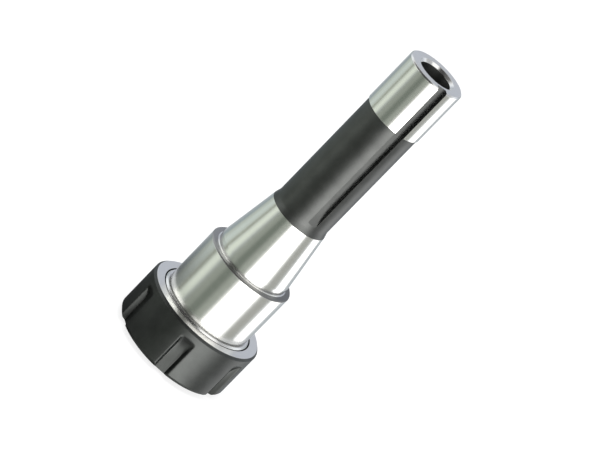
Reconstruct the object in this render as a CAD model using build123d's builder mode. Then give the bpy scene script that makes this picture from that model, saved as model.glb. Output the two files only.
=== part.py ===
from build123d import *
from math import cos, radians, tan
import os

# A collet chuck holder in millimetres: a one-piece arbor with a spindle taper at one end and a
# collet socket at the other, the nut that closes it, and the slit spring collet inside.
# It stands on the nut's front face. The origin is the centre of that face, +Z runs along the
# axis to the drawbar end of the shank, and the keyway faces -Y.

# Shank, with lengths taken from the drawbar end
shank_length = 101.6            # end face to the front of the gauge land
gauge_diameter = 31.75
gauge_land_length = 2.2         # short cylinder in front of the taper
taper_length = 23.8             # 15/16 inch
taper_run_out = 2.4             # step from the taper's small end down to the waist
shank_half_angle = 8.425        # 16 degrees 51 minutes included
pilot_diameter = 24.1
pilot_length = 23.5
waist_relief = 0.35             # on the radius, between pilot and taper
end_chamfer = 0.55
land_to_shoulder = 0.7
root_bevel = 0.35               # in the corner of land and shoulder

# Drawbar hole in the end of the shank
drawbar_thread_diameter = 9.9   # smooth wall at the thread's minor diameter
drawbar_thread_length = 30.0
drawbar_counterbore_step = 2.0  # on the radius
drawbar_counterbore_depth = 12.0
drawbar_bevel = 1.1             # on the radius, at the mouth
drawbar_bevel_depth = 1.05
drill_half_angle = 59.0

# Keyway, milled along the shank by a disc cutter that leaves a curved run-out
keyway_width = 3.97
keyway_depth = 2.5
keyway_full_length = 61.3
keyway_cutter_radius = 25.0

# Each diameter below is built on the one before it, by a step or a wall on the radius.
# Plain body between the shank and the threaded collar, 37.4 mm across
shoulder_width = 2.825
body_length = 24.7
body_edge_chamfer = 0.4

# Threaded collar that carries the nut, smooth here at the thread's major diameter of 40 mm
collar_step = 1.3
thread_clearance = 0.05         # between collar and nut
collar_rear_chamfer = 0.65

# Collet socket of 32 mm at its mouth, and the clearance bore above it for long tool shanks
collar_wall = 4.0
socket_run_on = 1.0             # cone carried past the collet's rear end
collet_half_angle = 8.0
clearance_bore_step = 1.5
clearance_bore_depth = 20.0     # above the end of the cone

# Collet, 33 mm across when free; each of its diameters closes by the same amount as it grips
collet_length = 40.0
collet_oversize = 0.5           # free collet over the socket's mouth
collet_free_bore = 13.0
collet_closing = 0.7            # on the diameter
flange_step = 1.0               # inside the largest diameter
groove_step = 2.5
face_step = 3.25
flange_land = 1.2               # lengths behind the front cone
groove_width = 3.2
groove_wall = 1.3
face_half_angle = 30.0
mouth_chamfer = 0.6
slit_count = 8                  # from each end, alternating
slit_width = 0.75
front_slit_bridge = 6.0         # metal left at the rear end
rear_slit_bridge = 11.0         # metal left at the front end

# Clamping nut, 50 mm across
nut_wall = 5.0                  # outside the thread
nut_height = 22.5
nut_to_body = 0.6               # rear face to the end of the plain body
nut_bevel_width = 5.2           # front bevel, around the flat ring on which the chuck stands
nut_bevel_height = 1.8
nut_front_chamfer_radial = 1.0
nut_front_chamfer_axial = 1.3
nut_rear_chamfer = 0.9
nut_mouth_clearance = 0.5       # around the collar, narrowing to the thread
nut_mouth_depth = 1.5
collet_recess = 0.4             # collet's front face inside the nut's
seat_clearance = 0.1            # square to the cone faces
extraction_play = 0.4           # flange to lip, along the axis
lip_thickness = 2.0
lip_clearance = 0.3             # around the collet's free flange, to let it in
lip_offset = 1.3                # the bore is off centre, so one side hooks into the groove

# Spanner slots in the nut's rim, with walls that open outwards
slot_count = 6
slot_width = 6.4                # at the rim
slot_depth = 2.5
slot_wall_spread = 0.95         # of each side wall, from floor to rim
slot_end_spread = 3.0           # of the closed end
slot_corner_radius = 2.0
slot_to_rear_face = 3.5         # at the rim
slot_phase = -22.5              # degrees from the keyway, about +Z

# Radii from the shank's gauge line out to the nut and in to the closed collet
gauge_radius = gauge_diameter / 2
body_radius = gauge_radius + shoulder_width
collar_radius = body_radius + collar_step
mouth_radius = collar_radius - collar_wall
free_radius = mouth_radius + collet_oversize
collet_radius = free_radius - collet_closing / 2
flange_radius = collet_radius - flange_step
groove_radius = collet_radius - groove_step
face_radius = collet_radius - face_step
bore_radius = (collet_free_bore - collet_closing) / 2

# Collet: heights above the nut's front face
collet_slope = tan(radians(collet_half_angle))
face_slope = tan(radians(face_half_angle))
collet_front_z = collet_recess
flange_start_z = collet_front_z + (flange_radius - face_radius) / face_slope
flange_end_z = flange_start_z + flange_land
groove_end_z = flange_end_z + groove_width
cone_start_z = groove_end_z + groove_wall
collet_rear_z = collet_front_z + collet_length
collet_rear_radius = collet_radius - (collet_rear_z - cone_start_z) * collet_slope

# Socket: its cone lies one clearance outside the collet's
socket_gap = seat_clearance / cos(radians(collet_half_angle))
collar_front_z = cone_start_z + (collet_radius + socket_gap - mouth_radius) / collet_slope
socket_top_z = collet_rear_z + socket_run_on
socket_top_radius = mouth_radius - (socket_top_z - collar_front_z) * collet_slope
clearance_bore_radius = socket_top_radius - clearance_bore_step
clearance_bore_top_z = socket_top_z + clearance_bore_depth

# Arbor: heights from the nut up to the shank's end
body_start_z = nut_height + nut_to_body
shoulder_z = body_start_z + body_length
land_start_z = shoulder_z + land_to_shoulder
gauge_z = land_start_z + gauge_land_length
taper_end_z = gauge_z + taper_length
waist_start_z = taper_end_z + taper_run_out
end_z = land_start_z + shank_length
pilot_start_z = end_z - pilot_length
taper_end_radius = gauge_radius - taper_length * tan(radians(shank_half_angle))
pilot_radius = pilot_diameter / 2
waist_radius = pilot_radius - waist_relief
drawbar_radius = drawbar_thread_diameter / 2
counterbore_radius = drawbar_radius + drawbar_counterbore_step
counterbore_end_z = end_z - drawbar_counterbore_depth
drawbar_thread_end_z = counterbore_end_z - drawbar_thread_length
drawbar_point_z = drawbar_thread_end_z - drawbar_radius / tan(radians(drill_half_angle))

# The arbor is turned and ground from one bar
with BuildPart() as holder_body:
    with BuildSketch(Plane.XZ):
        with BuildLine():
            Polyline(
                (0, drawbar_point_z),
                (drawbar_radius, drawbar_thread_end_z),
                (drawbar_radius, counterbore_end_z),
                (counterbore_radius, counterbore_end_z),
                (counterbore_radius, end_z - drawbar_bevel_depth),
                (counterbore_radius + drawbar_bevel, end_z),
                (pilot_radius - end_chamfer, end_z),
                (pilot_radius, end_z - end_chamfer),
                (pilot_radius, pilot_start_z),
                (waist_radius, pilot_start_z),
                (waist_radius, waist_start_z),
                (taper_end_radius, taper_end_z),
                (gauge_radius, gauge_z),
                (gauge_radius, shoulder_z + root_bevel),
                (gauge_radius + root_bevel, shoulder_z),
                (body_radius - body_edge_chamfer, shoulder_z),
                (body_radius, shoulder_z - body_edge_chamfer),
                (body_radius, body_start_z),
                (collar_radius - collar_rear_chamfer, body_start_z),
                (collar_radius, body_start_z - collar_rear_chamfer),
                (collar_radius, collar_front_z),
                (mouth_radius, collar_front_z),
                (socket_top_radius, socket_top_z),
                (clearance_bore_radius, socket_top_z),
                (clearance_bore_radius, clearance_bore_top_z),
                (0, clearance_bore_top_z),
                close=True,
            )
        make_face()
    revolve(axis=Axis.Z)

    # Keyway: full depth to the end face, then the cutter's own curve
    keyway_floor = pilot_radius - keyway_depth
    keyway_full_z = end_z - keyway_full_length
    with BuildSketch(Plane.YZ):
        with Locations((-keyway_floor, keyway_full_z)):
            Rectangle(keyway_cutter_radius, keyway_full_length + end_chamfer, align=(Align.MAX, Align.MIN))
        with Locations((-keyway_floor - keyway_cutter_radius, keyway_full_z)):
            Circle(keyway_cutter_radius)
    extrude(amount=keyway_width / 2, both=True, mode=Mode.SUBTRACT)

# One spanner slot: a flat-bottomed cut, open to the front, with round corners at its closed end.
# It is lofted from its floor to a like outline as far outside the rim, so each wall goes right through
nut_radius = collar_radius + nut_wall
slot_floor = nut_radius - slot_depth
slot_length = nut_height - slot_to_rear_face
with BuildPart() as spanner_slot:
    for spread in (-1, 1):
        width = slot_width + 2 * spread * slot_wall_spread
        length = slot_length + spread * slot_end_spread
        with BuildSketch(Plane.XZ.offset(nut_radius + spread * slot_depth)):
            slot_outline = Rectangle(width, length, align=(Align.CENTER, Align.MIN))
            closed_end = slot_outline.vertices().group_by(Axis.Y)[-1]
            fillet(closed_end, radius=min(slot_corner_radius, 0.45 * width))
    loft()

# The nut: thread at the rear, extractor lip, and a cone in front that pushes the collet home
nut_chamfer_radius = nut_radius - nut_front_chamfer_radial
nut_mouth_radius = collar_radius + nut_mouth_clearance
nut_thread_radius = collar_radius + thread_clearance
seat_gap = seat_clearance / cos(radians(face_half_angle))
front_opening_radius = face_radius + seat_gap - collet_recess * face_slope
lip_front_z = flange_end_z + extraction_play
seat_end_radius = front_opening_radius + lip_front_z * face_slope
lip_rear_z = lip_front_z + lip_thickness
lip_radius = free_radius - flange_step + lip_clearance
lip_reach_radius = lip_radius - lip_offset
with BuildPart() as clamping_nut:
    with BuildSketch(Plane.XZ):
        with BuildLine():
            Polyline(
                (front_opening_radius, 0),
                (nut_chamfer_radius - nut_bevel_width, 0),
                (nut_chamfer_radius, nut_bevel_height),
                (nut_radius, nut_bevel_height + nut_front_chamfer_axial),
                (nut_radius, nut_height - nut_rear_chamfer),
                (nut_radius - nut_rear_chamfer, nut_height),
                (nut_mouth_radius, nut_height),
                (nut_thread_radius, nut_height - nut_mouth_depth),
                (nut_thread_radius, lip_rear_z),
                (lip_reach_radius, lip_rear_z),
                (lip_reach_radius, lip_front_z),
                (seat_end_radius, lip_front_z),
                close=True,
            )
        make_face()
    revolve(axis=Axis.Z)

    # The lip's bore is turned off centre, so it is a hook on one side and clears the flange opposite
    with BuildSketch(Plane.XY.offset(lip_front_z)):
        with Locations((lip_offset, 0)):
            Circle(lip_radius)
    extrude(amount=lip_thickness, mode=Mode.SUBTRACT)

    with PolarLocations(0, slot_count, start_angle=slot_phase):
        add(spanner_slot.part, mode=Mode.SUBTRACT)

# The collet: turned form first, then the two sets of slits that leave it one springy piece
with BuildPart() as collet:
    with BuildSketch(Plane.XZ):
        with BuildLine():
            Polyline(
                (bore_radius + mouth_chamfer, collet_front_z),
                (face_radius, collet_front_z),
                (flange_radius, flange_start_z),
                (flange_radius, flange_end_z),
                (groove_radius, flange_end_z),
                (groove_radius, groove_end_z),
                (collet_radius, cone_start_z),
                (collet_rear_radius, collet_rear_z),
                (bore_radius, collet_rear_z),
                (bore_radius, collet_front_z + mouth_chamfer),
                close=True,
            )
        make_face()
    revolve(axis=Axis.Z)
    with BuildSketch(Plane.XY.offset(collet_front_z)):
        with PolarLocations(collet_radius / 2, slit_count):
            Rectangle(collet_radius + slit_width, slit_width)
    extrude(amount=collet_length - front_slit_bridge, mode=Mode.SUBTRACT)
    with BuildSketch(Plane.XY.offset(collet_rear_z)):
        with PolarLocations(collet_radius / 2, slit_count, start_angle=180 / slit_count):
            Rectangle(collet_radius + slit_width, slit_width)
    extrude(amount=rear_slit_bridge - collet_length, mode=Mode.SUBTRACT)

os.makedirs("parts", exist_ok=True)
holder_body.part.label = "holder_body"
clamping_nut.part.label = "clamping_nut"
collet.part.label = "collet"
for piece in (holder_body, clamping_nut, collet):
    export_step(piece.part, f"parts/{piece.part.label}.step")
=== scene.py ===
from math import cos, pi, radians, sin, sqrt, tan

import bmesh
import bpy
from mathutils import Euler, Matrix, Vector


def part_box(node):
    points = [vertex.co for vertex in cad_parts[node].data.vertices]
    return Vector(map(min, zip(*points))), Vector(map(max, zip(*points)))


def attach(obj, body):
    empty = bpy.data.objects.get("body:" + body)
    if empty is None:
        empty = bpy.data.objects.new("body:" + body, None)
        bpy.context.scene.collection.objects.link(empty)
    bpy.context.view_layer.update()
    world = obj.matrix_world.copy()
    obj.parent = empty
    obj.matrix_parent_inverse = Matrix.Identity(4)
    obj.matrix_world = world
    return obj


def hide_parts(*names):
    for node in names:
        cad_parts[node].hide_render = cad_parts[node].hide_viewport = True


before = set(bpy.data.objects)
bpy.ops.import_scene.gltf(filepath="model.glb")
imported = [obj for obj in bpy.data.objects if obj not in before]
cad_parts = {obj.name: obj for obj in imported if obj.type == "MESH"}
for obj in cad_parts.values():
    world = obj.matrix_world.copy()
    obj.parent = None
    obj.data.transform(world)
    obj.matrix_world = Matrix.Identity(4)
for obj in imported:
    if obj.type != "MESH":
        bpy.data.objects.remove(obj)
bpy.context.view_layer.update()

# The arbor is one bar of hardened tool steel, turned all over, blackened, and then ground bright
# on the pilot, the taper, the plain body and the faces. The waist, the keyway and the drawbar
# hole keep their black. The collar carries the nut's thread outside and the collet's cone inside.
mm = 0.001
holder_low, holder_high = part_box("holder_body")
shank_end = holder_high.z / mm
collar_front = holder_low.z / mm

pilot_radius = 12.05
pilot_start = shank_end - 23.5
waist_radius = 11.7
gauge_radius = 15.875
land_front = shank_end - 101.6
gauge_height = land_front + 2.2
taper_length = 23.8
taper_end = gauge_height + taper_length
taper_end_radius = gauge_radius - taper_length * tan(radians(8.425))
waist_start = taper_end + 2.4
blackened_down_to = taper_end - 0.1     # where the grinding of the taper starts to clean up
shoulder_height = land_front - 0.7
root_bevel = 0.08
body_radius = gauge_radius + 2.825
body_edge = 0.45
body_start = shoulder_height - 24.7
foot_groove_width = 0.5             # a fine relief at the foot of the body, for the grinding wheel
foot_groove_depth = 0.35

collar_radius = 20.0
thread_pitch = 1.5
thread_depth = 0.92
collar_root = collar_radius - thread_depth
collar_edge = 0.65
collar_land = 0.95                  # plain land behind the thread
mouth_radius = collar_radius - 4.0
socket_top = 41.4
socket_top_radius = mouth_radius - (socket_top - collar_front) * tan(radians(8.0))
clearance_bore_radius = socket_top_radius - 1.5
clearance_bore_top = socket_top + 20.0

drawbar_core = 4.95
drawbar_pitch = 1.27
drawbar_thread_depth = 0.6
counterbore_radius = drawbar_core + 2.0
counterbore_end = shank_end - 12.0
drawbar_thread_end = counterbore_end - 30.0
drill_point = drawbar_thread_end - drawbar_core / tan(radians(59.0))
drawbar_mouth = 1.1
drawbar_mouth_depth = 1.05

keyway_width = 3.97
keyway_floor = pilot_radius - 2.5
keyway_full_end = shank_end - 61.3
keyway_cutter_radius = 25.0


def rounded(outline):
    """Points along a closed outline of (radius, height, corner radius, offset), with arcs at its corners."""
    points = []
    for before, here, after in zip(outline[-1:] + outline[:-1], outline, outline[1:] + outline[:1]):
        corner = Vector(here[:2])
        corner_radius = here[2] if len(here) > 2 else 0
        offset = here[3] if len(here) > 3 else 0
        if not corner_radius:
            points.append((corner.x, corner.y, offset))
            continue
        back = (Vector(before[:2]) - corner).normalized()
        ahead = (Vector(after[:2]) - corner).normalized()
        half_angle = back.angle(ahead) / 2
        arc_steps = max(2, round((pi - 2 * half_angle) / radians(17)))
        reach = corner_radius / tan(half_angle)
        centre = corner + (back + ahead).normalized() * corner_radius / sin(half_angle)
        first = corner + back * reach
        last = corner + ahead * reach
        from_first = (first - centre).normalized()
        from_last = (last - centre).normalized()
        arc = []
        for i in range(arc_steps + 1):
            arc.append(centre + from_first.slerp(from_last, i / arc_steps) * corner_radius)
        # A ring just beyond each end of the arc keeps the flat beside it shading flat.
        held = [first + back * corner_radius / 2] + arc + [last + ahead * corner_radius / 2]
        points += [(p.x, p.y, offset) for p in held]
    return points


def turned(name, outline, segments=288):
    """A new object: the closed outline, in millimetres, spun round the Z axis."""
    vertices = []
    rings = []
    for radius, height, offset in rounded(outline):
        count = segments if radius > 1e-6 else 1
        rings.append(range(len(vertices), len(vertices) + count))
        for i in range(count):
            turn = 2 * pi * i / count
            vertices.append(Vector((offset + radius * cos(turn), radius * sin(turn), height)) * mm)
    faces = []
    for lower, upper in zip(rings, rings[1:] + rings[:1]):
        if len(lower) == len(upper) == 1:
            continue
        for i in range(segments):
            j = (i + 1) % segments
            below = [lower[i % len(lower)], lower[j % len(lower)]]
            above = [upper[j % len(upper)], upper[i % len(upper)]]
            # A ring that is a single point gives triangles.
            faces.append(list(dict.fromkeys(below + above)))
    return closed_piece(name, vertices, faces)


def closed_piece(name, vertices, faces):
    """A new object from vertices in metres and the faces of a closed skin, turned to point outwards."""
    mesh = bpy.data.meshes.new(name)
    mesh.from_pydata(vertices, [], faces)
    skin = bmesh.new()
    skin.from_mesh(mesh)
    bmesh.ops.recalc_face_normals(skin, faces=skin.faces)
    if skin.calc_volume(signed=True) < 0:
        bmesh.ops.reverse_faces(skin, faces=skin.faces)
    skin.to_mesh(mesh)
    skin.free()
    return place(name, mesh)


def place(name, data):
    """A new object in the scene that holds the mesh, lamp or camera."""
    made = bpy.data.objects.new(name, data)
    bpy.context.scene.collection.objects.link(made)
    return made


def prism(name, outline, low, high):
    """A cutter: an outline of (y, z) points in millimetres, carried along X from low to high."""
    count = len(outline)
    vertices = [Vector((x, y, z)) * mm for x in (low, high) for y, z in outline]
    sides = [(i, (i + 1) % count, count + (i + 1) % count, count + i) for i in range(count)]
    ends = [list(range(count))[::-1], list(range(count, 2 * count))]
    return closed_piece(name, vertices, sides + ends)


class Wire:
    """One output of a node. Sums written with it add Math nodes, and node() adds any other node."""

    def __init__(self, tree, socket=None):
        self.tree = tree
        self.socket = socket

    def node(self, kind, settings=None, sockets=None, output=0):
        made = self.tree.nodes.new(kind)
        for name, value in (settings or {}).items():
            setattr(made, name, value)
        for name, value in (sockets or {}).items():
            if isinstance(name, int):
                target = made.inputs[name]
            else:
                target = next(s for s in made.inputs if s.name == name and s.enabled)
            for one in value if isinstance(value, list) else [value]:
                if isinstance(one, Wire):
                    self.tree.links.new(one.socket, target)
                else:
                    target.default_value = one
        if isinstance(output, int):
            found = [s for s in made.outputs if s.enabled][output]
        else:
            found = next(s for s in made.outputs if s.name == output and s.enabled)
        return Wire(self.tree, found)

    def math(self, operation, *others):
        sockets = dict(enumerate([self, *others]))
        return self.node("ShaderNodeMath", {"operation": operation}, sockets)

    def __add__(self, other):
        return self.math("ADD", other)

    def __radd__(self, other):
        return self.math("ADD", other)

    def __sub__(self, other):
        return self.math("SUBTRACT", other)

    def __rsub__(self, other):
        return self.node("ShaderNodeMath", {"operation": "SUBTRACT"}, {0: other, 1: self})

    def __mul__(self, other):
        return self.math("MULTIPLY", other)

    def __rmul__(self, other):
        return self.math("MULTIPLY", other)

    def __truediv__(self, other):
        return self.math("DIVIDE", other)

    def rising(self, low, high):
        """0 below low, 1 above high, and smooth between them."""
        sockets = {"Value": self, "From Min": low, "From Max": high}
        return self.node("ShaderNodeMapRange", {"interpolation_type": "SMOOTHSTEP"}, sockets)

    def within(self, low, high, edge):
        """1 between low and high, falling to 0 over an edge at each of them."""
        return self.rising(low - edge, low + edge) * (1 - self.rising(high - edge, high + edge))

    def mixed(self, first, second):
        """The first colour where this mask is 0, and the second where it is 1."""
        return self.node("ShaderNodeMix", {"data_type": "RGBA"}, {"Factor": self, "A": first, "B": second})

    def between(self, first, second):
        """The first number where this mask is 0, and the second where it is 1."""
        return self.node("ShaderNodeMix", {"data_type": "FLOAT"}, {"Factor": self, "A": first, "B": second})

    def tinted(self, colour):
        """The colour, scaled by this number."""
        return self.node("ShaderNodeMix", {"data_type": "RGBA", "blend_type": "MULTIPLY"},
                         {"Factor": 1.0, "A": self, "B": colour})


def surface_places(start):
    """x, y and z on the piece, and the distance from its axis, all in millimetres."""
    where = start.node("ShaderNodeTexCoord", output="Object")
    scaled = where.node("ShaderNodeVectorMath", {"operation": "SCALE"}, {"Vector": where, "Scale": 1 / mm})
    x, y, z = (scaled.node("ShaderNodeSeparateXYZ", {}, {"Vector": scaled}, axis) for axis in "XYZ")
    return x, y, z, (x * x + y * y).math("SQRT")


def tool_marks(x, y, travel, fineness, along):
    """Noise drawn out round the axis, as a wheel leaves it: fine along its travel, long round the piece."""
    stretched = x.node("ShaderNodeCombineXYZ", {}, {"X": x * along, "Y": y * along, "Z": travel * fineness})
    return x.node("ShaderNodeTexNoise", {}, {
        "Vector": stretched, "Scale": 1.0, "Detail": 2.0, "Roughness": 0.55})


def clouds(x, y, z, size):
    """Soft patches about size millimetres across."""
    spot = x.node("ShaderNodeCombineXYZ", {}, {"X": x, "Y": y, "Z": z})
    return x.node("ShaderNodeTexNoise", {}, {"Vector": spot, "Scale": 1.0 / size, "Detail": 3.0})


def steel_finish(name, paint):
    """A metal material. paint() takes the places on the piece and returns colour, roughness and height."""
    material = bpy.data.materials.new(name)
    material.use_nodes = True
    tree = material.node_tree
    tree.nodes.clear()
    start = Wire(tree)
    colour, roughness, height = paint(*surface_places(start))
    bump = start.node("ShaderNodeBump", {}, {"Strength": 0.35, "Distance": 0.00001, "Height": height})
    shader = start.node("ShaderNodeBsdfPrincipled", {}, {
        "Base Color": colour, "Metallic": 1.0, "Roughness": roughness, "Normal": bump,
        "Anisotropic": 0.45, "Anisotropic Rotation": 0.25})
    output = tree.nodes.new("ShaderNodeOutputMaterial")
    tree.links.new(shader.socket, output.inputs["Surface"])
    return material


ground_colour = (0.78, 0.775, 0.755, 1)
ground_roughness = 0.2
turned_roughness = 0.32             # of a face that was turned and not ground
arbor_black = (0.090, 0.092, 0.090, 1)
black_roughness = 0.46


def ground_and_black(x, y, z, travel, blackened, turned_face, black_colour):
    """Ground steel, and black oxide where the mask is 1, with the marks and clouds of both."""
    marks = tool_marks(x, y, travel, fineness=7.0, along=0.06)
    bands = tool_marks(x, y, travel, fineness=0.9, along=0.02)
    oxide = clouds(x, y, z, size=5.0)
    grain = clouds(x, y, z, size=0.35)
    bright = (0.96 + 0.05 * bands + 0.03 * marks).tinted(ground_colour)
    dark = (0.62 + 0.56 * oxide + 0.2 * grain).tinted(black_colour)
    colour = blackened.mixed(bright, dark)
    bright_roughness = turned_face.between(ground_roughness, turned_roughness)
    bright_roughness = bright_roughness - 0.04 + 0.06 * marks + 0.03 * bands
    dark_roughness = black_roughness - 0.05 + 0.07 * oxide + 0.04 * grain
    roughness = blackened.between(bright_roughness, dark_roughness)
    height = blackened.between(marks, 0.4 * marks + 0.6 * grain)
    return colour, roughness, height


def arbor_paint(x, y, z, radius):
    """Black on waist, keyway, drawbar hole and collar, and only partly black on the shoulder, lighter
    towards one side, and in the groove.
    """
    waist = z.within(blackened_down_to, pilot_start, 0.04)
    between_walls = x.math("ABSOLUTE").rising(keyway_width / 2 + 0.04, keyway_width / 2 + 0.02)
    under_the_skin = radius.rising(pilot_radius - 0.02, pilot_radius - 0.04)
    past_floor = y.rising(0.55 - keyway_floor, 0.15 - keyway_floor)
    above_taper = z.rising(blackened_down_to - 1, blackened_down_to)      # nothing is cut below it
    keyway = between_walls * under_the_skin * past_floor * above_taper
    hole = radius.rising(counterbore_radius + 0.06, counterbore_radius + 0.02)
    hole = hole * z.rising(clearance_bore_top + 5, clearance_bore_top + 10)
    shoulder = z.within(shoulder_height - body_edge, shoulder_height + root_bevel, 0.03)
    shoulder = shoulder * radius.rising(gauge_radius + 0.3, gauge_radius + 0.5)
    # The shoulder's black fades steadily across it, so one side is lighter than the other.
    shoulder = shoulder * (0.74 + 0.005 * (x - 0.6 * y))
    groove = z.within(body_start - 0.05, body_start + foot_groove_width - 0.04, 0.02)
    groove = groove * radius.within(body_radius - foot_groove_depth - 0.1, body_radius - 0.03, 0.02)
    collar = z.rising(body_start - collar_edge, body_start - collar_edge - 0.04)
    collar = collar * radius.rising(collar_root - 0.6, collar_root - 0.5)
    blackened = waist
    for mask in (keyway, hole, groove * 0.6, collar, shoulder):
        blackened = blackened.math("MAXIMUM", mask)
    end_face = z.rising(shank_end - 0.1, shank_end - 0.05)
    collar_face = z.within(body_start - 0.1, body_start + 0.1, 0.02)
    turned_face = end_face.math("MAXIMUM", collar_face)
    return ground_and_black(x, y, z, z + radius, blackened, turned_face, arbor_black)


def tree_with(name, inputs):
    """A Geometry Nodes tree for a mesh and named inputs: the tree, a wire to build from, and the inputs."""
    tree = bpy.data.node_groups.new(name, "GeometryNodeTree")
    tree.interface.new_socket("Piece", in_out="INPUT", socket_type="NodeSocketGeometry")
    for title, kind in inputs.items():
        tree.interface.new_socket(title, in_out="INPUT", socket_type=kind)
    tree.interface.new_socket("Result", in_out="OUTPUT", socket_type="NodeSocketGeometry")
    way_in = tree.nodes.new("NodeGroupInput")
    wires = {s.name: Wire(tree, s) for s in way_in.outputs if s.name}
    return tree, Wire(tree), wires


def end_tree(tree, result, finish):
    """Closes the tree with its material and its output."""
    real = result.node("GeometryNodeRealizeInstances", {}, {"Geometry": result})
    painted = real.node("GeometryNodeSetMaterial", {}, {"Geometry": real, "Material": finish})
    way_out = tree.nodes.new("NodeGroupOutput")
    tree.links.new(painted.socket, way_out.inputs["Result"])


def screw_thread_tree():
    """A thread: a ridge that climbs a right-handed helix, joined to the turned piece."""
    tree, start, given = tree_with("screw_thread", {
        "Base Radius": "NodeSocketFloat", "Ridge Height": "NodeSocketFloat", "Base Width": "NodeSocketFloat",
        "Crest Width": "NodeSocketFloat", "Pitch": "NodeSocketFloat", "Turns": "NodeSocketFloat",
        "Start Height": "NodeSocketFloat", "Start Angle": "NodeSocketFloat", "Facing": "NodeSocketFloat",
        "Finish": "NodeSocketMaterial"})
    helix = start.node("GeometryNodeCurveSpiral", {}, {
        "Resolution": 96, "Rotations": given["Turns"], "Start Radius": given["Base Radius"],
        "End Radius": given["Base Radius"], "Height": given["Turns"] * given["Pitch"]})
    # The ridge sinks into the metal over the first and last part of a turn.
    along = start.node("GeometryNodeSplineParameter", output="Factor") * given["Turns"]
    fade = along.rising(0.0, 0.4) * (given["Turns"] - along).rising(0.0, 0.4)
    shift = (1 - fade) * given["Ridge Height"] * given["Facing"] * -1.15
    spot = start.node("GeometryNodeInputPosition")
    flat = spot.node("ShaderNodeVectorMath", {"operation": "MULTIPLY"}, {0: spot, 1: (1, 1, 0)})
    outward = flat.node("ShaderNodeVectorMath", {"operation": "NORMALIZE"}, {0: flat})
    move = outward.node("ShaderNodeVectorMath", {"operation": "SCALE"}, {"Vector": outward, "Scale": shift})
    sunk = helix.node("GeometryNodeSetPosition", {}, {"Geometry": helix, "Offset": move})
    upright = sunk.node("GeometryNodeSetCurveNormal", {"mode": "Z_UP"}, {"Curve": sunk})
    section = start.node("GeometryNodeCurvePrimitiveQuadrilateral", {"mode": "TRAPEZOID"}, {
        "Height": given["Ridge Height"], "Bottom Width": given["Base Width"],
        "Top Width": given["Crest Width"], "Offset": 0.0})
    turn = start.node("ShaderNodeCombineXYZ", {}, {"Z": given["Facing"] * (pi / 2)})
    section = section.node("GeometryNodeTransform", {}, {"Geometry": section, "Rotation": turn})
    ridge = upright.node("GeometryNodeCurveToMesh", {}, {
        "Curve": upright, "Profile Curve": section, "Fill Caps": True})
    spin = start.node("ShaderNodeCombineXYZ", {}, {"Z": given["Start Angle"]})
    lift = start.node("ShaderNodeCombineXYZ", {}, {"Z": given["Start Height"]})
    ridge = ridge.node("GeometryNodeTransform", {}, {
        "Geometry": ridge, "Translation": lift, "Rotation": spin})
    joined = start.node("GeometryNodeMeshBoolean", {"operation": "UNION", "solver": "EXACT"}, {
        1: [given["Piece"], ridge]}, "Mesh")
    end_tree(tree, joined, given["Finish"])
    return tree


def even_cuts_tree():
    """Cuts in a turned piece, evenly spaced round its axis, all made by one cutter."""
    tree, start, given = tree_with("even_cuts", {
        "Cutter": "NodeSocketObject", "Count": "NodeSocketInt", "First Angle": "NodeSocketFloat",
        "Finish": "NodeSocketMaterial"})
    spots = start.node("GeometryNodePoints", {}, {"Count": given["Count"]})
    step = start.node("GeometryNodeInputIndex") * (2 * pi) / given["Count"]
    turn = start.node("ShaderNodeCombineXYZ", {}, {"Z": given["First Angle"] + step})
    cutter = start.node("GeometryNodeObjectInfo", {}, {"Object": given["Cutter"]}, "Geometry")
    cutters = spots.node("GeometryNodeInstanceOnPoints", {}, {
        "Points": spots, "Instance": cutter, "Rotation": turn})
    cut = start.node("GeometryNodeMeshBoolean", {"operation": "DIFFERENCE", "solver": "EXACT"}, {
        0: given["Piece"], 1: cutters}, "Mesh")
    end_tree(tree, cut, given["Finish"])
    return tree


def worked(piece, tree, **values):
    """Runs a tree on the piece with its named inputs, and keeps the result as the piece's plain mesh."""
    modifier = piece.modifiers.new(tree.name, "NODES")
    modifier.node_group = tree
    for socket in tree.interface.items_tree:
        key = socket.name.lower().replace(" ", "_")
        if socket.in_out == "INPUT" and key in values:
            modifier[socket.identifier] = values[key]
    bpy.context.view_layer.update()
    evaluated = piece.evaluated_get(bpy.context.evaluated_depsgraph_get())
    mesh = bpy.data.meshes.new_from_object(evaluated)
    piece.modifiers.remove(modifier)
    piece.data = mesh


sharp_angle = 20                    # in degrees: an edge that turns further stays sharp


def finished(piece, material):
    """Smooth shading that breaks at the sharp edges, and the piece's material."""
    mesh = piece.data
    mesh.materials.clear()
    mesh.materials.append(material)
    mesh.polygons.foreach_set("material_index", [0] * len(mesh.polygons))
    mesh.shade_smooth()
    mesh.set_sharp_from_angle(angle=radians(sharp_angle))


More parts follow.
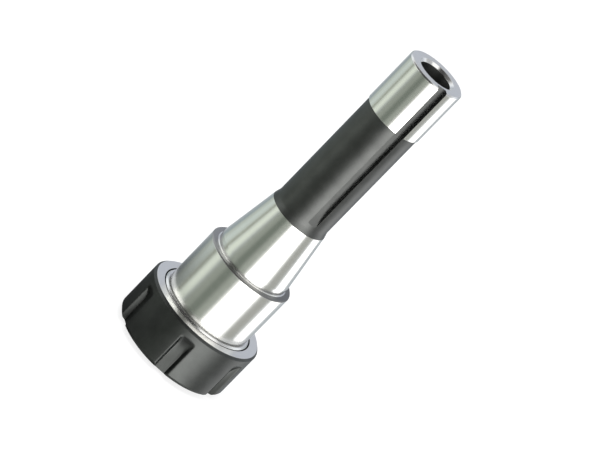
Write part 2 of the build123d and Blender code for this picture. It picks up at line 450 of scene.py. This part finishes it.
holder = turned("arbor", [
    (0, drill_point),
    (drawbar_core, drawbar_thread_end),
    (drawbar_core + drawbar_thread_depth, drawbar_thread_end),
    (drawbar_core + drawbar_thread_depth, counterbore_end - 0.6),
    (drawbar_core + drawbar_thread_depth + 0.4, counterbore_end),
    (counterbore_radius, counterbore_end),
    (counterbore_radius, shank_end - drawbar_mouth_depth, 0.3),
    (counterbore_radius + drawbar_mouth, shank_end, 0.12),
    (pilot_radius - 0.55, shank_end, 0.15),
    (pilot_radius, shank_end - 0.55, 0.15),
    (pilot_radius, pilot_start, 0.1),
    (waist_radius, pilot_start),
    (waist_radius, waist_start, 2.0),
    (taper_end_radius, taper_end, 0.4),
    (gauge_radius, gauge_height, 0.4),
    (gauge_radius, shoulder_height + root_bevel),
    (gauge_radius + root_bevel, shoulder_height),
    (body_radius - body_edge, shoulder_height, 0.12),
    (body_radius, shoulder_height - body_edge, 0.15),
    (body_radius, body_start + foot_groove_width, 0.08),
    (body_radius - foot_groove_depth, body_start + foot_groove_width - 0.1),
    (body_radius - foot_groove_depth, body_start),
    (collar_radius - collar_edge, body_start, 0.1),
    (collar_radius, body_start - collar_edge, 0.15),
    (collar_radius, body_start - collar_edge - collar_land, 0.1),
    (collar_root, body_start - collar_edge - collar_land - 0.6),
    (collar_root, collar_front + 0.5),
    (collar_root - 0.5, collar_front, 0.15),
    (mouth_radius, collar_front, 0.15),
    (socket_top_radius, socket_top),
    (clearance_bore_radius, socket_top, 0.2),
    (clearance_bore_radius, clearance_bore_top),
    (0, clearance_bore_top),
])
arc_end_angle = 32
keyway_outline = [(-keyway_floor, shank_end + 2)]
for i in range(arc_end_angle + 1):
    sweep = radians(i)
    keyway_outline.append((-keyway_floor - keyway_cutter_radius * (1 - cos(sweep)),
                           keyway_full_end - keyway_cutter_radius * sin(sweep)))
keyway_outline.append((-pilot_radius - 4, keyway_outline[-1][1]))
keyway_outline.append((-pilot_radius - 4, shank_end + 2))
keyway_cutter = prism("keyway_cutter", keyway_outline, -keyway_width / 2, keyway_width / 2)

arbor_steel = steel_finish("arbor_steel", arbor_paint)
screw_thread = screw_thread_tree()
even_cuts = even_cuts_tree()
ridge_sink = 0.12                   # of a thread's ridge into the wall that it stands on
flank = tan(radians(30))
thread_crest = 0.13
drawbar_crest = 0.16
thread_start = collar_front + 0.3
thread_turns = (body_start - collar_edge - collar_land - 0.3 - thread_start) / thread_pitch
worked(holder, screw_thread,
       base_radius=(collar_root + (thread_depth - ridge_sink) / 2) * mm,
       ridge_height=(thread_depth + ridge_sink) * mm,
       base_width=(thread_crest + 2 * flank * (thread_depth + ridge_sink)) * mm,
       crest_width=thread_crest * mm,
       pitch=thread_pitch * mm,
       turns=thread_turns,
       start_height=thread_start * mm,
       start_angle=0.0,
       facing=1.0,
       finish=arbor_steel)
worked(holder, screw_thread,
       base_radius=(drawbar_core + (drawbar_thread_depth + ridge_sink) / 2) * mm,
       ridge_height=(drawbar_thread_depth + ridge_sink) * mm,
       base_width=(drawbar_crest + 2 * flank * (drawbar_thread_depth + ridge_sink)) * mm,
       crest_width=drawbar_crest * mm,
       pitch=drawbar_pitch * mm,
       turns=(counterbore_end - drawbar_thread_end - 0.9) / drawbar_pitch,
       start_height=(drawbar_thread_end + 0.5) * mm,
       start_angle=0.0,
       facing=-1.0,
       finish=arbor_steel)
worked(holder, even_cuts, cutter=keyway_cutter, count=1, first_angle=0.0, finish=arbor_steel)
bpy.data.objects.remove(keyway_cutter)
finished(holder, arbor_steel)
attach(holder, "holder")
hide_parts("holder_body")

# The collet is one piece of spring steel, hardened and ground, with eight slits sawn from each
# end so that it can close on a tool. It sits in the arbor's cone and hooks on the nut's lip.
collet_low, collet_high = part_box("collet")
collet_front = collet_low.z / mm
collet_rear = collet_high.z / mm
collet_radius = 16.15
collet_bore = 6.15
collet_rear_radius = 11.88
flange_radius = collet_radius - 1.0
flange_front = 4.297
flange_rear = flange_front + 1.2
groove_radius = collet_radius - 2.5
groove_rear = flange_rear + 3.2
cone_start = groove_rear + 1.3
face_radius = collet_radius - 3.25
bore_mouth = 0.6
slit_count = 8
slit_width = 0.75
front_slit_end = collet_rear - 6.0
rear_slit_end = collet_front + 11.0

collet = turned("spring_collet", [
    (collet_bore + bore_mouth, collet_front, 0.1),
    (face_radius, collet_front, 0.15),
    (flange_radius, flange_front, 0.15),
    (flange_radius, flange_rear, 0.1),
    (groove_radius, flange_rear, 0.3),
    (groove_radius, groove_rear, 0.3),
    (collet_radius, cone_start, 0.15),
    (collet_rear_radius, collet_rear, 0.2),
    (collet_bore, collet_rear, 0.15),
    (collet_bore, collet_front + bore_mouth, 0.1),
], segments=240)


def collet_paint(x, y, z, radius):
    """Ground all over: no part lies so high that the two masks take it in."""
    nowhere = z.rising(1000, 1001)
    return ground_and_black(x, y, z, z + radius, nowhere, nowhere, arbor_black)


collet_steel = steel_finish("collet_steel", collet_paint)
slit_far = -collet_radius - 2
for open_end, slit_end, first_angle in ((collet_front - 2, front_slit_end, 0.0),
                                        (collet_rear + 2, rear_slit_end, pi / slit_count)):
    slit_outline = [(0, open_end), (slit_far, open_end), (slit_far, slit_end), (0, slit_end)]
    slit = prism("slit", slit_outline, -slit_width / 2, slit_width / 2)
    worked(collet, even_cuts, cutter=slit, count=slit_count, first_angle=first_angle, finish=collet_steel)
    bpy.data.objects.remove(slit)
finished(collet, collet_steel)
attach(collet, "collet")
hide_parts("collet")

# The clamping nut is turned from one piece of steel and blackened, then its rear face and the
# cone that pushes the collet are ground bright. Six slots in its rim take the hook spanner.
nut_radius = 25.0
nut_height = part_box("clamping_nut")[1].z / mm
nut_thread_root = collar_radius + 0.05
nut_thread_depth = 0.85
nut_crest = 0.31
nut_opening = 12.785                # the cone's small end, at the front face
nut_face_radius = 18.8
front_edge_radius = 24.0            # between the two bevels of the front edge
front_edge_height = 1.8
front_bevel_end = 3.1
lip_front = 5.897
lip_rear = lip_front + 2.0
lip_radius = 15.8
lip_offset = 1.3
cone_end_radius = 16.19
nut_rear_chamfer = 0.9
nut_mouth = 20.5
slot_count = 6
slot_width = 6.1                    # at the rim, without the rounding of its edges
slot_depth = 2.5
slot_wall_spread = 0.95             # of each side wall, from floor to rim
slot_top = nut_height - 3.5
slot_run_out = 7.0                  # length over which the floor curves up to the rim at the closed end
slot_corner = 1.3
slot_first_angle = radians(-22.9)
slot_edge = 0.42                    # rounding of the slot's edge at the rim
nut_black = (0.072, 0.075, 0.073, 1)

nut = turned("nut", [
    (nut_opening, 0, 0.1),
    (nut_face_radius, 0, 0.3),
    (front_edge_radius, front_edge_height, 0.15),
    (nut_radius, front_bevel_end, 0.2),
    (nut_radius, slot_top + 0.5),
    (nut_radius, nut_height - nut_rear_chamfer, 0.15),
    (nut_radius - nut_rear_chamfer, nut_height, 0.1),
    (nut_mouth, nut_height, 0.12),
    (nut_thread_root, nut_height - 1.5),
    (nut_thread_root, lip_rear, 0.3),
    (lip_radius, lip_rear, 0.15, lip_offset),
    (lip_radius, lip_front, 0.15, lip_offset),
    (cone_end_radius, lip_front),
])


def slot_ring(depth, flare):
    """The outline of one slot at a depth under the rim, grown by flare, as (x, y, z) in millimetres."""
    above_floor = slot_depth - depth
    cutter_radius = (slot_run_out ** 2 + slot_depth ** 2) / (2 * slot_depth)
    half = slot_width / 2 - slot_wall_spread * depth / slot_depth + flare
    top = slot_top - slot_run_out + sqrt(2 * cutter_radius * above_floor - above_floor ** 2) + flare
    corner = slot_corner + flare
    outline = [(-half, -2.0), (half, -2.0)]
    for side, first in ((1, 0), (-1, 90)):
        for i in range(7):
            sweep = radians(first + 15 * i)
            x = side * (half - corner) + corner * cos(sweep)
            outline.append((x, top - corner + corner * sin(sweep)))
    # The rim is round and the floor flat, so the rings bend less the deeper they lie.
    bend = above_floor / slot_depth
    ring = []
    for x, z in outline:
        fall = nut_radius - sqrt(nut_radius ** 2 - x * x)
        ring.append((x, depth - nut_radius + bend * fall, z))
    return ring


def slot_cutter(name):
    """A lofted cutter for one slot: flat floor, curved run-out, slanting walls and a rounded edge."""
    rings = [slot_ring(slot_depth * share, 0.0) for share in (1.0, 0.94, 0.84, 0.7, 0.55, 0.4, 0.25)]
    for sweep in (0, 30, 60, 90):
        turned_by = radians(sweep)
        rings.append(slot_ring(slot_edge * (1 - sin(turned_by)), slot_edge * (1 - cos(turned_by))))
    rings.append(slot_ring(-0.5, slot_edge + 0.6))
    vertices = [Vector(point) * mm for ring in rings for point in ring]
    count = len(rings[0])
    last = len(vertices) - count
    faces = [list(range(count))[::-1], list(range(last, last + count))]
    for first in range(0, last, count):
        for i in range(count):
            j = (i + 1) % count
            faces.append((first + i, first + j, first + count + j, first + count + i))
    return closed_piece(name, vertices, faces)


def nut_paint(x, y, z, radius):
    """Black, with the rear face and the cone that pushes the collet ground bright."""
    rear_face = z.rising(nut_height - 0.05, nut_height - 0.03) * radius.rising(nut_mouth - 0.05, nut_mouth)
    seat = radius.rising(cone_end_radius + 0.21, cone_end_radius + 0.11)
    seat = seat * z.rising(lip_front + 0.1, lip_front - 0.1) * z.rising(0.0, 0.1)
    ground = rear_face.math("MAXIMUM", seat)
    return ground_and_black(x, y, z, z + radius, 1 - ground, rear_face, nut_black)


nut_steel = steel_finish("nut_steel", nut_paint)
one_slot = slot_cutter("slot_cutter")
nut_thread_start = 10.4
worked(nut, screw_thread,
       base_radius=(nut_thread_root + (ridge_sink - nut_thread_depth) / 2) * mm,
       ridge_height=(nut_thread_depth + ridge_sink) * mm,
       base_width=(nut_crest + 2 * flank * (nut_thread_depth + ridge_sink)) * mm,
       crest_width=nut_crest * mm,
       pitch=thread_pitch * mm,
       turns=(nut_height - 1.3 - nut_thread_start) / thread_pitch,
       start_height=nut_thread_start * mm,
       start_angle=2 * pi * ((nut_thread_start - thread_start) / thread_pitch + 0.5),
       facing=-1.0,
       finish=nut_steel)
worked(nut, even_cuts, cutter=one_slot, count=slot_count, first_angle=slot_first_angle, finish=nut_steel)
bpy.data.objects.remove(one_slot)
finished(nut, nut_steel)
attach(nut, "nut")
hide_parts("clamping_nut")

# The studio: a wide pale table, a soft lamp overhead for the shadow, and a camera with a long
# lens, rolled so that the chuck leans to the upper right. The world holds the white room and the
# dark and bright cards that ground steel needs round it to show its form.
camera_azimuth = -29.9
camera_elevation = 20.73
camera_distance = 1.5023
camera_roll = 44.3
camera_lens = 247.0
aim_point = Vector((0.00177, -0.00221, 0.07226))

table_reach = 3.0
table_grey = (0.30, 0.30, 0.30, 1)
table_glow = 0.8                    # what lifts the table to white for the camera, under the soft shadow
shadow_grey = (0.06, 0.06, 0.06, 1)

table_corners = [(x * table_reach, y * table_reach, 0) for x, y in ((-1, -1), (1, -1), (1, 1), (-1, 1))]
table_mesh = bpy.data.meshes.new("table")
table_mesh.from_pydata(table_corners, [], [(0, 1, 2, 3)])
table = place("table", table_mesh)
table_paint = bpy.data.materials.new("table_paint")
table_paint.use_nodes = True
table_tree = table_paint.node_tree
table_tree.nodes.clear()
start = Wire(table_tree)
lit = start.node("ShaderNodeBsdfDiffuse", {}, {"Color": table_grey})
seen = start.node("ShaderNodeLightPath", output="Is Camera Ray")
glow = start.node("ShaderNodeEmission", {}, {"Color": (1, 1, 1, 1), "Strength": seen * table_glow})
both = start.node("ShaderNodeAddShader", {}, {0: lit, 1: glow})
from_below = start.node("ShaderNodeNewGeometry", output="Backfacing")
clear = start.node("ShaderNodeBsdfTransparent")
one_sided = start.node("ShaderNodeMixShader", {}, {0: from_below, 1: both, 2: clear})
x, y, _, distance = surface_places(start)


def shadow_on_table(azimuth, half_width, edge, fading_from, gone_at):
    """The part of the table on that side of the chuck, out to a distance in millimetres."""
    bearing = radians(camera_azimuth + azimuth)
    facing = (x * sin(bearing) - y * cos(bearing)) / distance.math("MAXIMUM", 1.0)
    sector = facing.rising(cos(radians(half_width + edge)), cos(radians(half_width - edge)))
    return sector * distance.rising(gone_at, fading_from)


# The metal sees the table only where the chuck's own shadow lies on it, on its unlit side.
long_shadow = shadow_on_table(-115, half_width=33, edge=13, fading_from=35, gone_at=165)
near_shadow = shadow_on_table(-85, half_width=52, edge=14, fading_from=50, gone_at=85)
shade = long_shadow.math("MAXIMUM", near_shadow)
dark = start.node("ShaderNodeBsdfDiffuse", {}, {"Color": shadow_grey})
shadow = start.node("ShaderNodeMixShader", {}, {0: shade, 1: clear, 2: dark})
in_metal = start.node("ShaderNodeLightPath", output="Is Glossy Ray")
table_surface = start.node("ShaderNodeMixShader", {}, {0: in_metal, 1: one_sided, 2: shadow})
table_output = table_tree.nodes.new("ShaderNodeOutputMaterial")
table_tree.links.new(table_surface.socket, table_output.inputs["Surface"])
table_mesh.materials.append(table_paint)

world = bpy.data.worlds.new("studio")
bpy.context.scene.world = world
world.use_nodes = True
world.node_tree.nodes.clear()
start = Wire(world.node_tree)
direction = start.node("ShaderNodeTexCoord", output="Generated")
east, south, up = (direction.node("ShaderNodeSeparateXYZ", {}, {"Vector": direction}, axis)
                   for axis in "XYZ")
level_length = (east * east + south * south).math("SQRT").math("MAXIMUM", 0.001)


def lit_room(colour, cards):
    """A room of one colour with cards round it, each given as (azimuth, half width, edge, colour).

    The azimuth is counted from the camera's, and it, the width and the soft edge are in degrees."""
    painted = start.node("ShaderNodeRGB")
    painted.socket.default_value = (*colour, 1)
    for azimuth, half_width, edge, card_colour in cards:
        bearing = radians(camera_azimuth + azimuth)
        facing = (east * sin(bearing) - south * cos(bearing)) / level_length
        mask = facing.rising(cos(radians(half_width + edge)), cos(radians(half_width - edge)))
        painted = mask.mixed(painted, (*card_colour, 1))
    return painted


def height_above(low, high):
    """0 for directions below the low elevation, in degrees, and 1 above the high one."""
    return up.rising(sin(radians(low)), sin(radians(high)))


# Upright walls mirror this band, which lies where the table would be: the metal doesn't see the table.
room = lit_room((0.50, 0.54, 0.57), [
    (-136, 14, 7, (0.36, 0.42, 0.44)),
    (-94, 34, 7, (0.56, 0.62, 0.56)),
    (-106, 8, 5, (0.66, 0.74, 0.70)),
    (-87, 3, 2, (0.34, 0.36, 0.30)),
    (-70, 7, 6, (0.84, 0.91, 0.80)),
    (-25, 31, 7, (0.34, 0.375, 0.325)),
    (-25, 7.5, 7, (0.195, 0.225, 0.19)),
    (-3, 8, 6, (0.38, 0.415, 0.365)),
    (119, 13, 8, (2.4, 2.4, 2.4)),
    (84, 13, 7, (0.45, 0.46, 0.43)),
    (36.9, 30.7, 4.5, (1.5, 1.5, 1.47)),
    (36.5, 21, 8, (5.1, 5.1, 5.0)),
])

# The flat faces mirror the walls, straight or by way of the body and the taper.
walls = lit_room((1.05, 1.10, 1.15), [
    (180, 38, 12, (0.58, 0.62, 0.71)),
    (-72, 25, 9, (2.6, 2.65, 2.6)),
    (-30, 17, 9, (0.13, 0.14, 0.12)),
    (31, 41, 8, (2.0, 2.0, 1.97)),
])
room = height_above(6, 16).mixed(room, walls)

# The bevels mirror the ceiling, where one round lamp shines.
ceiling = lit_room((0.13, 0.13, 0.13), [
    (-160, 45, 12, (0.95, 0.96, 0.98)),
    (120, 75, 15, (0.55, 0.56, 0.58)),
    (-28, 36, 10, (0.05, 0.05, 0.05)),
])
lamp_bearing = radians(camera_azimuth + 63)
lamp_height = radians(62)
across = east * sin(lamp_bearing) - south * cos(lamp_bearing)
towards_lamp = across * cos(lamp_height) + up * sin(lamp_height)
lamp_disc = towards_lamp.rising(cos(radians(19)), cos(radians(14)))
ceiling = lamp_disc.mixed(ceiling, (1.4, 1.4, 1.4, 1))
room = height_above(28, 38).mixed(room, ceiling)

# The slots' ends, and upright walls seen from high up, mirror what lies low, down to a dark spot below.
low_room = lit_room((0.42, 0.44, 0.42), [
    (80, 25, 12, (1.3, 1.32, 1.3)),
    (20, 18, 10, (0.05, 0.05, 0.05)),
    (-18, 20, 12, (0.8, 0.82, 0.78)),
])
low_room = height_above(-70, -78).mixed(low_room, (0.04, 0.04, 0.04, 1))
room = height_above(-34, -46).mixed(room, low_room)

to_camera = start.node("ShaderNodeLightPath", output="Is Camera Ray")
shown = to_camera.mixed(room, (1, 1, 1, 1))
background = start.node("ShaderNodeBackground", {}, {"Color": shown, "Strength": 1.0})
world_output = world.node_tree.nodes.new("ShaderNodeOutputWorld")
world.node_tree.links.new(background.socket, world_output.inputs["Surface"])

lamp_data = bpy.data.lights.new("overhead_lamp", "AREA")
lamp_data.shape = "DISK"
lamp_data.size = 0.9
lamp_data.energy = 9.0
lamp = place("overhead_lamp", lamp_data)
lamp.location = (-0.35, -0.25, 1.3)
lamp.rotation_euler = (Vector((0, 0, 0.05)) - lamp.location).to_track_quat("-Z", "Y").to_euler()
lamp.visible_glossy = False

camera_data = bpy.data.cameras.new("camera")
camera_data.lens = camera_lens
camera_data.sensor_width = 36.0
camera_data.clip_start = 0.1
camera_data.clip_end = 20.0
camera = place("camera", camera_data)
azimuth = radians(camera_azimuth)
elevation = radians(camera_elevation)
backward = Vector((sin(azimuth) * cos(elevation), -cos(azimuth) * cos(elevation), sin(elevation)))
camera.location = aim_point + backward * camera_distance
upright_view = (-backward).to_track_quat("-Z", "Y")
camera.rotation_euler = (upright_view @ Euler((0, 0, radians(camera_roll))).to_quaternion()).to_euler()
bpy.context.scene.camera = camera
bpy.context.scene.view_settings.view_transform = "Standard"
